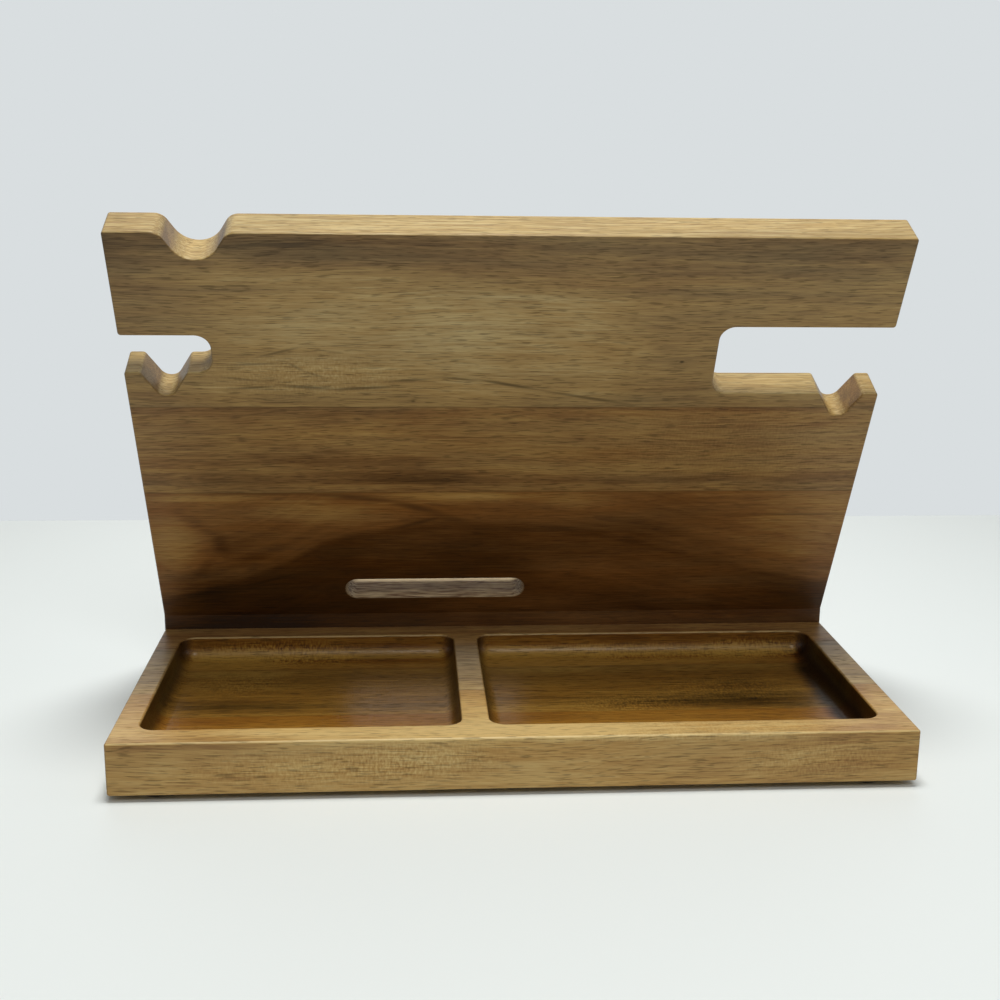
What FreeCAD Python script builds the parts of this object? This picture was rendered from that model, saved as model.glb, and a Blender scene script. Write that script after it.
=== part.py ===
"""Bedside organiser: a routed acacia tray with a notched board that leans over it.

Millimetres, +Z up, front towards -Y. The origin is on the surface that the feet stand on,
midway along and across the base.
"""
import FreeCAD, Part
import math
import os

Vector = FreeCAD.Vector

# ---- driving dimensions: base ------------------------------------------------------------
OVERALL_WIDTH = 300.0
BASE_DEPTH = 151.0
BASE_THICKNESS = 20.5
BASE_EDGE_RADIUS = 1.0
FRONT_STAVE_WIDTH = 48.0
MIDDLE_STAVE_WIDTH = 52.0

# ---- driving dimensions: trays -----------------------------------------------------------
TRAY_DEPTH = 10.0
TRAY_FRONT_WALL = 12.5
TRAY_LENGTH_FRONT_TO_BACK = 102.5
LEFT_END_WALL = 9.6
RIGHT_END_WALL = 11.0
DIVIDER_WIDTH = 10.5
LEFT_TRAY_WIDTH = 119.5
TRAY_CORNER_RADIUS = 6.5
TRAY_FLOOR_RADIUS = 6.0
TRAY_RIM_RADIUS = 0.8

# ---- driving dimensions: board -----------------------------------------------------------
BOARD_THICKNESS = 15.5
BOARD_LENGTH = 192.0
BOARD_LEAN_DEG = 26.5
BOARD_LAND_HEIGHT = 6.5
BOARD_EDGE_RADIUS = 0.8
BOARD_CORNER_RADIUS = 1.2
LOWER_STAVE_WIDTH = 71.0
MIDDLE_BOARD_STAVE_WIDTH = 44.0

# ---- driving dimensions: tongue and groove -----------------------------------------------
RAIL_WIDTH = 12.0
TONGUE_THICKNESS = 12.0
GROOVE_DEPTH = 10.0
GROOVE_SIDE_CLEARANCE = 0.1

# ---- driving dimensions: slots and notches of the board ----------------------------------
# Heights are measured up the board's face from the top of the land.
RIGHT_SLOT_TOP = 152.8
RIGHT_ARM_TOP = 121.6
RIGHT_SLOT_REACH = 69.0
LEFT_SLOT_TOP = 148.1
LEFT_ARM_TOP = 131.3
LEFT_SLOT_REACH = 34.2
SLOT_CORNER_RADIUS = 6.0
NOTCH_HALF_ANGLE_DEG = 31.5
ARM_NOTCH_INSET = 15.2
ARM_NOTCH_DEPTH = 10.8
ARM_NOTCH_ROOT_RADIUS = 4.5
ARM_NOTCH_SHOULDER_RADIUS = 1.8
TOP_NOTCH_INSET = 32.2
TOP_NOTCH_DEPTH = 11.0
TOP_NOTCH_ROOT_RADIUS = 10.0
TOP_NOTCH_SHOULDER_RADIUS = 5.5
CABLE_SLOT_LENGTH = 79.5
CABLE_SLOT_HEIGHT = 11.0
CABLE_SLOT_LEFT_INSET = 81.5
CABLE_SLOT_RISE = 9.8

# ---- driving dimensions: feet and screws -------------------------------------------------
FOOT_DIAMETER = 16.0
FOOT_HEIGHT = 2.5
FOOT_SIDE_INSET = 17.0
FOOT_END_INSET = 12.0
FOOT_EDGE_CHAMFER = 0.5
SCREW_COUNT = 3
SCREW_DIAMETER = 4.0
SCREW_LENGTH = 28.0
SCREW_HEAD_DIAMETER = 8.0
SCREW_HEAD_RECESS = 0.5
SCREW_HOLE_CLEARANCE = 0.15
SCREW_POINT_LENGTH = 5.0
SCREW_DRIVE_WIDTH = 4.4
SCREW_DRIVE_SLOT = 1.1
SCREW_DRIVE_DEPTH = 1.5
SCREW_END_INSET = 40.0

# ---- places worked out from the sizes above ----------------------------------------------
HALF_WIDTH = OVERALL_WIDTH / 2
FRONT_Y = -BASE_DEPTH / 2
BACK_Y = BASE_DEPTH / 2
BASE_BOTTOM_Z = FOOT_HEIGHT
BASE_TOP_Z = BASE_BOTTOM_Z + BASE_THICKNESS
TRAY_FLOOR_Z = BASE_TOP_Z - TRAY_DEPTH
TRAY_FRONT_Y = FRONT_Y + TRAY_FRONT_WALL
TRAY_BACK_Y = TRAY_FRONT_Y + TRAY_LENGTH_FRONT_TO_BACK
TONGUE_FRONT_Y = TRAY_BACK_Y + RAIL_WIDTH
TONGUE_MIDDLE_Y = TONGUE_FRONT_Y + TONGUE_THICKNESS / 2
GROOVE_FLOOR_Z = BASE_TOP_Z - GROOVE_DEPTH
LAND_TOP_Z = BASE_TOP_Z + BOARD_LAND_HEIGHT
LEAN = math.radians(BOARD_LEAN_DEG)
NOTCH_HALF_ANGLE = math.radians(NOTCH_HALF_ANGLE_DEG)
# A cutter runs past the face that it cuts by this much.
OVERRUN = 5.0


def box(x_low, x_high, y_low, y_high, z_low, z_high):
    """A box between two corners."""
    corner = Vector(x_low, y_low, z_low)
    return Part.makeBox(x_high - x_low, y_high - y_low, z_high - z_low, corner)


def rounded_outline(corners):
    """A closed wire in the XZ plane through corners (x, z, radius), with each corner rounded."""
    edges = []
    starts = []
    ends = []
    middles = []
    count = len(corners)
    for i in range(count):
        x, z, radius = corners[i]
        here = Vector(x, 0, z)
        before = Vector(corners[i - 1][0], 0, corners[i - 1][1])
        after = Vector(corners[(i + 1) % count][0], 0, corners[(i + 1) % count][1])
        to_before = (before - here).normalize()
        to_after = (after - here).normalize()
        half_angle = to_before.getAngle(to_after) / 2
        setback = radius / math.tan(half_angle)
        bisector = (to_before + to_after).normalize()
        starts.append(here + to_before * setback)
        ends.append(here + to_after * setback)
        middles.append(here + bisector * (radius / math.sin(half_angle) - radius))
    for i in range(count):
        if corners[i][2] > 0:
            edges.append(Part.Arc(starts[i], middles[i], ends[i]).toShape())
        edges.append(Part.LineSegment(ends[i], starts[(i + 1) % count]).toShape())
    return Part.Wire(edges)


def on_board(shape):
    """Turn a shape from board coordinates into place on the leaning board.

    In board coordinates Z runs up the front face from the top of the land, and Y into the wood.
    """
    placed = shape.copy()
    placed.rotate(Vector(0, 0, 0), Vector(1, 0, 0), BOARD_LEAN_DEG)
    placed.translate(Vector(0, TONGUE_FRONT_Y, LAND_TOP_Z))
    return placed


def fillet_edges(shape, radius, wanted):
    """Round every edge of the shape for which wanted(edge) is true."""
    return shape.makeFillet(radius, [edge for edge in shape.Edges if wanted(edge)])


# ---- base --------------------------------------------------------------------------------
def tray_cutter(x_low, x_high):
    """A tray's hollow, with rounded corners in plan and a radius round its floor."""
    top_z = BASE_TOP_Z + OVERRUN
    block = box(x_low, x_high, TRAY_FRONT_Y, TRAY_BACK_Y, TRAY_FLOOR_Z, top_z)
    block = fillet_edges(block, TRAY_CORNER_RADIUS, stands_upright)
    return fillet_edges(block, TRAY_FLOOR_RADIUS, lambda edge: lies_at_height(edge, TRAY_FLOOR_Z))


def stands_upright(edge):
    """True for a straight edge along Z."""
    low, high = edge.BoundBox.ZMin, edge.BoundBox.ZMax
    return high - low > edge.Length - 0.001


def lies_at_height(edge, height):
    """True for an edge that lies wholly at one height."""
    tolerance = 0.001
    low, high = edge.BoundBox.ZMin, edge.BoundBox.ZMax
    return abs(low - height) < tolerance and abs(high - height) < tolerance


def tray_spans():
    """The left and right ends of each tray."""
    left_start = -HALF_WIDTH + LEFT_END_WALL
    left_end = left_start + LEFT_TRAY_WIDTH
    right_start = left_end + DIVIDER_WIDTH
    right_end = HALF_WIDTH - RIGHT_END_WALL
    return [(left_start, left_end), (right_start, right_end)]


def groove_cutter():
    """The groove for the board's tongue, right through from end to end."""
    return box(
        -HALF_WIDTH - OVERRUN, HALF_WIDTH + OVERRUN,
        TONGUE_FRONT_Y - GROOVE_SIDE_CLEARANCE,
        TONGUE_FRONT_Y + TONGUE_THICKNESS + GROOVE_SIDE_CLEARANCE,
        GROOVE_FLOOR_Z, BASE_TOP_Z + OVERRUN)


def base_block():
    """The whole base as glued up and routed."""
    block = box(-HALF_WIDTH, HALF_WIDTH, FRONT_Y, BACK_Y, BASE_BOTTOM_Z, BASE_TOP_Z)
    block = block.makeFillet(BASE_EDGE_RADIUS, block.Edges)
    for x_low, x_high in tray_spans():
        block = block.cut(tray_cutter(x_low, x_high))
    block = fillet_edges(block, TRAY_RIM_RADIUS, is_tray_rim)
    block = block.cut(groove_cutter())
    for x in screw_places():
        block = block.cut(screw_hole(x))
    return block


def is_tray_rim(edge):
    """True for an edge where a tray's wall meets the top of the base."""
    if not lies_at_height(edge, BASE_TOP_Z):
        return False
    bounds = edge.BoundBox
    margin = 0.1
    inside_y = TRAY_FRONT_Y - margin < bounds.YMin and bounds.YMax < TRAY_BACK_Y + margin
    first, last = tray_spans()
    inside_x = first[0] - margin < bounds.XMin and bounds.XMax < last[1] + margin
    return inside_x and inside_y


def base_staves():
    """The base parted along its glue lines."""
    block = base_block()
    first_line = FRONT_Y + FRONT_STAVE_WIDTH
    second_line = first_line + MIDDLE_STAVE_WIDTH
    spans = {
        "base_front_stave": (FRONT_Y - OVERRUN, first_line),
        "base_middle_stave": (first_line, second_line),
        "base_rear_stave": (second_line, BACK_Y + OVERRUN),
    }
    staves = {}
    for name, (y_low, y_high) in spans.items():
        slab = box(
            -HALF_WIDTH - OVERRUN, HALF_WIDTH + OVERRUN, y_low, y_high,
            BASE_BOTTOM_Z - OVERRUN, BASE_TOP_Z + OVERRUN)
        staves[name] = block.common(slab)
    return staves


# ---- board -------------------------------------------------------------------------------
def notch_corners(x, top, depth, root_radius, shoulder_radius):
    """The three rounded corners of a V-notch, from right to left, as the outline runs."""
    apex_depth = depth + root_radius * (1 / math.sin(NOTCH_HALF_ANGLE) - 1)
    half_width = apex_depth * math.tan(NOTCH_HALF_ANGLE)
    return [
        (x + half_width, top, shoulder_radius),
        (x, top - apex_depth, root_radius),
        (x - half_width, top, shoulder_radius),
    ]


def board_outline():
    """The board's outline in board coordinates, from the foot's left end round to the right."""
    corner = BOARD_CORNER_RADIUS
    right_arm_notch = notch_corners(
        HALF_WIDTH - ARM_NOTCH_INSET, RIGHT_ARM_TOP,
        ARM_NOTCH_DEPTH, ARM_NOTCH_ROOT_RADIUS, ARM_NOTCH_SHOULDER_RADIUS)
    left_arm_notch = notch_corners(
        -HALF_WIDTH + ARM_NOTCH_INSET, LEFT_ARM_TOP,
        ARM_NOTCH_DEPTH, ARM_NOTCH_ROOT_RADIUS, ARM_NOTCH_SHOULDER_RADIUS)
    top_notch = notch_corners(
        -HALF_WIDTH + TOP_NOTCH_INSET, BOARD_LENGTH,
        TOP_NOTCH_DEPTH, TOP_NOTCH_ROOT_RADIUS, TOP_NOTCH_SHOULDER_RADIUS)
    right_slot_end = HALF_WIDTH - RIGHT_SLOT_REACH
    left_slot_end = -HALF_WIDTH + LEFT_SLOT_REACH
    corners = [(-HALF_WIDTH, 0, 0), (HALF_WIDTH, 0, 0), (HALF_WIDTH, RIGHT_ARM_TOP, corner)]
    corners += right_arm_notch
    corners += [
        (right_slot_end, RIGHT_ARM_TOP, SLOT_CORNER_RADIUS),
        (right_slot_end, RIGHT_SLOT_TOP, SLOT_CORNER_RADIUS),
        (HALF_WIDTH, RIGHT_SLOT_TOP, corner),
        (HALF_WIDTH, BOARD_LENGTH, corner),
    ]
    corners += top_notch
    corners += [
        (-HALF_WIDTH, BOARD_LENGTH, corner),
        (-HALF_WIDTH, LEFT_SLOT_TOP, corner),
        (left_slot_end, LEFT_SLOT_TOP, SLOT_CORNER_RADIUS),
        (left_slot_end, LEFT_ARM_TOP, SLOT_CORNER_RADIUS),
    ]
    corners += left_arm_notch
    corners += [(-HALF_WIDTH, LEFT_ARM_TOP, corner)]
    return rounded_outline(corners)


def cable_slot_outline():
    """The round-ended slot that a charging cable passes through."""
    radius = CABLE_SLOT_HEIGHT / 2
    left = -HALF_WIDTH + CABLE_SLOT_LEFT_INSET + radius
    right = left + CABLE_SLOT_LENGTH - CABLE_SLOT_HEIGHT
    low = CABLE_SLOT_RISE
    middle = low + radius
    high = low + CABLE_SLOT_HEIGHT
    low_left, low_right = Vector(left, 0, low), Vector(right, 0, low)
    high_left, high_right = Vector(left, 0, high), Vector(right, 0, high)
    return Part.Wire([
        Part.LineSegment(low_left, low_right).toShape(),
        Part.Arc(low_right, Vector(right + radius, 0, middle), high_right).toShape(),
        Part.LineSegment(high_right, high_left).toShape(),
        Part.Arc(high_left, Vector(left - radius, 0, middle), low_left).toShape(),
    ])


def board_panel():
    """The leaning part of the board, in board coordinates, with its edges eased."""
    through = Vector(0, BOARD_THICKNESS, 0)
    panel = Part.Face(board_outline()).extrude(through)
    panel = fillet_edges(panel, BOARD_EDGE_RADIUS, is_panel_rim)
    slot = Part.Face(cable_slot_outline()).extrude(through)
    panel = panel.cut(slot)
    return fillet_edges(panel, BOARD_EDGE_RADIUS, lambda edge: is_mouth_of(slot, edge))


def is_panel_rim(edge):
    """True for an edge of the panel's front or back face, other than those along its foot."""
    tolerance = 0.001
    bounds = edge.BoundBox
    on_front = abs(bounds.YMin) < tolerance and abs(bounds.YMax) < tolerance
    on_back = abs(bounds.YMin - BOARD_THICKNESS) < tolerance
    at_foot = bounds.ZMax < tolerance
    return (on_front or on_back) and not at_foot


def is_mouth_of(slot, edge):
    """True for an edge where a cut slot meets the panel's front or back face."""
    margin = 0.1
    reach = slot.BoundBox
    reach.enlarge(margin)
    return is_panel_rim(edge) and reach.isInside(edge.BoundBox)


def board_blank():
    """The whole board as glued up and cut: the leaning panel on its upright tongue."""
    tongue_back_y = TONGUE_FRONT_Y + TONGUE_THICKNESS
    in_front_of_back = box(
        -HALF_WIDTH - OVERRUN, HALF_WIDTH + OVERRUN,
        TONGUE_FRONT_Y - BOARD_LENGTH, tongue_back_y,
        BASE_BOTTOM_Z, LAND_TOP_Z + BOARD_LENGTH)
    panel = on_board(board_panel()).common(in_front_of_back)
    tongue_foot_z = GROOVE_FLOOR_Z
    profile = Part.makePolygon([
        Vector(-HALF_WIDTH, TONGUE_FRONT_Y, tongue_foot_z),
        Vector(-HALF_WIDTH, tongue_back_y, tongue_foot_z),
        Vector(-HALF_WIDTH, tongue_back_y, LAND_TOP_Z + TONGUE_THICKNESS * math.tan(LEAN)),
        Vector(-HALF_WIDTH, TONGUE_FRONT_Y, LAND_TOP_Z),
        Vector(-HALF_WIDTH, TONGUE_FRONT_Y, tongue_foot_z),
    ])
    tongue = Part.Face(profile).extrude(Vector(OVERALL_WIDTH, 0, 0))
    tongue = fillet_edges(tongue, BOARD_EDGE_RADIUS, stands_upright)
    board = panel.fuse(tongue).removeSplitter()
    for x in screw_places():
        board = board.cut(screw_pilot(x))
    return board


def board_slab(x_low, low, high):
    """The stretch of the leaning board between two heights, from x_low to past its right end."""
    return on_board(box(
        x_low, HALF_WIDTH + OVERRUN, -BOARD_THICKNESS, 2 * BOARD_THICKNESS, low, high))


def board_staves():
    """The board parted along its glue lines, which run square through its thickness.

    The right arm's notch crosses the upper glue line, so the arm's tip goes with the middle stave.
    """
    board = board_blank()
    past_left = -HALF_WIDTH - OVERRUN
    below_foot = BOARD_LAND_HEIGHT + GROOVE_DEPTH + BOARD_THICKNESS
    first_line = LOWER_STAVE_WIDTH
    second_line = first_line + MIDDLE_BOARD_STAVE_WIDTH
    notch_x = HALF_WIDTH - ARM_NOTCH_INSET
    lower = board_slab(past_left, -below_foot, first_line)
    middle = board_slab(past_left, first_line, second_line)
    tip = board_slab(notch_x, second_line, RIGHT_ARM_TOP + OVERRUN)
    upper = board_slab(past_left, second_line, BOARD_LENGTH + OVERRUN).cut(tip)
    return {
        "board_lower_stave": board.common(lower),
        "board_middle_stave": board.common(middle.fuse(tip)).removeSplitter(),
        "board_upper_stave": board.common(upper),
    }


# ---- feet --------------------------------------------------------------------------------
def foot(x, y):
    """One rubber foot, stuck to the underside of the base."""
    radius = FOOT_DIAMETER / 2
    pad = Part.makeCylinder(radius, FOOT_HEIGHT, Vector(x, y, 0))
    rim = [edge for edge in pad.Edges if lies_at_height(edge, 0)]
    return pad.makeChamfer(FOOT_EDGE_CHAMFER, rim)


def feet():
    """The four feet, one near each corner."""
    pads = {}
    for side, x in (("left", -HALF_WIDTH + FOOT_SIDE_INSET), ("right", HALF_WIDTH - FOOT_SIDE_INSET)):
        for end, y in (("front", FRONT_Y + FOOT_END_INSET), ("rear", BACK_Y - FOOT_END_INSET)):
            pads["foot_" + end + "_" + side] = foot(x, y)
    return pads


# ---- screws ------------------------------------------------------------------------------
def screw_places():
    """Where the screws stand along the groove, evenly spaced."""
    first = -HALF_WIDTH + SCREW_END_INSET
    pitch = (OVERALL_WIDTH - 2 * SCREW_END_INSET) / (SCREW_COUNT - 1)
    return [first + pitch * i for i in range(SCREW_COUNT)]


def screw_body(x, radius, head_radius, length, point_length):
    """A countersunk screw's outside, head down, with its head just inside the base."""
    head_z = BASE_BOTTOM_Z + SCREW_HEAD_RECESS
    head_height = head_radius - radius
    shank_top = head_z + length - point_length
    profile = Part.makePolygon([
        Vector(0, 0, head_z),
        Vector(head_radius, 0, head_z),
        Vector(radius, 0, head_z + head_height),
        Vector(radius, 0, shank_top),
        Vector(0, 0, shank_top + point_length),
        Vector(0, 0, head_z),
    ])
    body = Part.Face(profile).revolve(Vector(0, 0, 0), Vector(0, 0, 1), 360)
    body.translate(Vector(x, TONGUE_MIDDLE_Y, 0))
    return body


def assembly_screw(x):
    """One wood screw with a cross recess in its head."""
    body = screw_body(x, SCREW_DIAMETER / 2, SCREW_HEAD_DIAMETER / 2, SCREW_LENGTH, SCREW_POINT_LENGTH)
    head_z = BASE_BOTTOM_Z + SCREW_HEAD_RECESS
    arm = SCREW_DRIVE_WIDTH / 2
    half_slot = SCREW_DRIVE_SLOT / 2
    top = head_z + SCREW_DRIVE_DEPTH
    middle = TONGUE_MIDDLE_Y
    along_x = box(x - arm, x + arm, middle - half_slot, middle + half_slot, head_z - OVERRUN, top)
    along_y = box(x - half_slot, x + half_slot, middle - arm, middle + arm, head_z - OVERRUN, top)
    return body.cut(along_x.fuse(along_y))


def screw_hole(x):
    """The countersunk clearance hole through the floor of the groove."""
    radius = SCREW_DIAMETER / 2 + SCREW_HOLE_CLEARANCE
    head_radius = SCREW_HEAD_DIAMETER / 2
    shank = Part.makeCylinder(radius, BASE_THICKNESS, Vector(x, TONGUE_MIDDLE_Y, BASE_BOTTOM_Z))
    head_z = BASE_BOTTOM_Z + SCREW_HEAD_RECESS
    mouth = Part.makeCylinder(head_radius, SCREW_HEAD_RECESS + OVERRUN,
                              Vector(x, TONGUE_MIDDLE_Y, BASE_BOTTOM_Z - OVERRUN))
    cone_height = head_radius - SCREW_DIAMETER / 2
    cone = Part.makeCone(head_radius, SCREW_DIAMETER / 2, cone_height,
                         Vector(x, TONGUE_MIDDLE_Y, head_z))
    return shank.fuse(mouth).fuse(cone)


def screw_pilot(x):
    """The hole that the screw's thread has cut for itself in the tongue."""
    return screw_body(
        x, SCREW_DIAMETER / 2, SCREW_HEAD_DIAMETER / 2, SCREW_LENGTH, SCREW_POINT_LENGTH)


def assembly_screws():
    """The screws that draw the tongue down into the groove."""
    return {"assembly_screw_%d" % (i + 1): assembly_screw(x) for i, x in enumerate(screw_places())}


# ---- write one file for each piece -------------------------------------------------------
def main():
    os.makedirs("parts", exist_ok=True)
    pieces = {}
    pieces.update(base_staves())
    pieces.update(board_staves())
    pieces.update(feet())
    pieces.update(assembly_screws())
    for name, shape in pieces.items():
        solids = shape.Solids
        if len(solids) != 1 or not solids[0].isValid():
            raise ValueError(name + " is not one valid solid")
        solids[0].exportStep("parts/" + name + ".step")
        bounds = solids[0].BoundBox
        print(name, round(solids[0].Volume, 1), [
            round(value, 2) for value in (
                bounds.XMin, bounds.XMax, bounds.YMin, bounds.YMax, bounds.ZMin, bounds.ZMax)])


main()
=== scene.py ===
"""Bedside organiser in oiled acacia, with a routed tray and a leaning notched board.

It stands on rubber feet, and screws hold the board. The file is laid out as a Blender add-on
and run as a script. Objects are in metres in the frame's own axes. The patterns in the wood are
in millimetres, in the axes of the panel that each stave belongs to: X along the grain, Y into
the panel and Z up its face. The base's axes are the frame's own.
"""
import math
from typing import NamedTuple

import bpy
from bpy.props import FloatProperty, FloatVectorProperty, IntProperty, PointerProperty
from mathutils import Euler, Matrix, Vector


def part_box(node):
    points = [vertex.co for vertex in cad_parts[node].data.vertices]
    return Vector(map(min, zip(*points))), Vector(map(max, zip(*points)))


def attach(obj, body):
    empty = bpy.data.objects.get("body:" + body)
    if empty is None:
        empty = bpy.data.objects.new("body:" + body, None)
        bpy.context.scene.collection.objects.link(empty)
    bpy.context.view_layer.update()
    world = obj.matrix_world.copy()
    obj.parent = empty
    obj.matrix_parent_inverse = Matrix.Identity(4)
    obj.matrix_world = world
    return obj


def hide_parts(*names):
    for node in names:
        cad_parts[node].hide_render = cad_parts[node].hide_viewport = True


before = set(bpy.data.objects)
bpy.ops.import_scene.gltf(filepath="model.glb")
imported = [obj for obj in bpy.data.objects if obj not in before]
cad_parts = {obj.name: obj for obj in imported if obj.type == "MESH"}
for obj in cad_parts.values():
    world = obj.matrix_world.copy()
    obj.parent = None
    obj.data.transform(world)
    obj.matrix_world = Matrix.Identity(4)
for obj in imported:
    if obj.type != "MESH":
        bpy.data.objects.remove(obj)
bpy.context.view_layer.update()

bl_info = {
    "name": "Bedside Organiser",
    "version": (1, 0, 0),
    "blender": (4, 5, 0),
    "location": "3D View > Sidebar > Organiser",
    "description": "Dresses a bedside organiser in acacia, rubber and steel around its frame",
    "category": "Object",
}

MM = 0.001
ROOT = "root"

# ---- where the pieces are ------------------------------------------------------------------
FEET = ("foot_front_left", "foot_front_right", "foot_rear_left", "foot_rear_right")
SCREWS = ("assembly_screw_1", "assembly_screw_2", "assembly_screw_3")
FOOT_LOW, FOOT_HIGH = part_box("foot_front_left")
FOOT_DIAMETER = FOOT_HIGH.x - FOOT_LOW.x
FOOT_HEIGHT = FOOT_HIGH.z - FOOT_LOW.z
FEET_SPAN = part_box("foot_rear_right")[0] - FOOT_LOW
FEET_PER_ROW = 2
# The board leans forward and stands on a tongue that rises a little above the base.
BOARD_LEAN = math.radians(26.5)
BOARD_FOOT = Vector((0.0, 51.5 * MM, 29.5 * MM))

# ---- sizes in the wood, in millimetres -----------------------------------------------------
# Real vessel lines are about 0.2 mm wide. These are wider, so that they show.
VESSEL_WIDTH = 0.5
# A glue line is darkest within its half width, and has faded out a little further from it.
GLUE_DARKNESS = 0.4
GLUE_HALF_WIDTH = 0.1
GLUE_FADED = 0.35
# A patch fades to nothing at this many times its reach.
PATCH_FADE = 1.6
# How much of the colour is lost on the sawn ends of a stave, and on the trays' end walls,
# where it is partly soaked-in oil and mostly painted shade.
END_DARKNESS = 0.22
TRAY_END_DARKNESS_AND_SHADE = 0.78

# ---- where the camera stands, in metres and degrees ----------------------------------------
CAMERA_PLACE = (-0.04086, -0.53137, 0.22007)
CAMERA_DIP = 13.298
CAMERA_TURN = -4.043
CAMERA_ROLL = 0.652
SENSOR_WIDTH = 36.0

# ---- building blocks -----------------------------------------------------------------------
MATH = "ShaderNodeMath"
VECTOR_MATH = "ShaderNodeVectorMath"


def linear(code):
    """The linear colour of an sRGB hex code."""
    channels = [int(code[i:i + 2], 16) / 255 for i in (1, 3, 5)]
    return tuple(c / 12.92 if c <= 0.04045 else ((c + 0.055) / 1.055) ** 2.4 for c in channels)


def opaque(colour):
    """A colour with full alpha, as a node's socket takes it."""
    return (colour[0], colour[1], colour[2], 1.0)


def node(tree, kind, settings=None, inputs=None, stops=()):
    """Add a node with its settings and a ramp's stops, and link or set its inputs.

    Inputs are keyed by name or number. A node given for a value stands for its first output.
    """
    made = tree.nodes.new(kind)
    for key, value in (settings or {}).items():
        setattr(made, key, value)
    if stops:
        elements = made.color_ramp.elements
        while len(elements) < len(stops):
            elements.new(1.0)
        for element, (position, colour) in zip(elements, stops):
            element.position = position
            element.color = opaque(colour)
    for key, value in (inputs or {}).items():
        if isinstance(value, bpy.types.Node):
            value = value.outputs[0]
        if isinstance(value, bpy.types.NodeSocket):
            tree.links.new(value, made.inputs[key])
        else:
            made.inputs[key].default_value = value
    return made


def new_material(name):
    """An empty node material, and its tree."""
    material = bpy.data.materials.new(name)
    material.use_nodes = True
    material.node_tree.nodes.clear()
    return material, material.node_tree


def dress(name, material):
    """Give a carried-over piece its finish."""
    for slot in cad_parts[name].material_slots:
        slot.material = material


# ---- how each stave was cut from its log, with painted shade and highlights ----------------
class Patch(NamedTuple):
    """A soft-edged area of a stave, in millimetres in its panel's axes.

    Its slope is in degrees on the panel's face, and rises to the right. Its change makes the
    colour paler, or darker below zero, whether for the wood or for painted shade and highlights.
    For figure and marks it is how strong they are.
    """
    centre: tuple
    reach: tuple
    slope: float
    change: float


class Stave(NamedTuple):
    """One stave. Lengths are in millimetres in its panel's axes.

    Pith is a point of the log's middle. Bends are pairs of a place along the stave and how far
    the pith rises there. Tones are pairs of a distance from the pith and a shade from 0, dark,
    to 1, pale. Sway is how far the grain wanders, bands and streaks are how strong the growth
    bands and the fine lines are, and warmth runs from 0, olive, to 1, red-brown. Joints are
    pairs of a panel axis, 1 for Y or 2 for Z, and where a glue line crosses it. Patches are paler
    or darker areas; most are the wood's own, and some are painted shade or painted highlights.
    Figure is where short ripples cross the grain, and on the trays' rear fillets it paints glints.
    Marks are dark streaks and pin knots. The seed sets the stave's patterns apart from the
    others'.
    """
    name: str
    pith: tuple
    bends: tuple
    tones: tuple
    sway: float
    bands: float
    streaks: float
    warmth: float
    seed: float
    joints: tuple
    patches: tuple = ()
    figure: tuple = ()
    marks: tuple = ()


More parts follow.
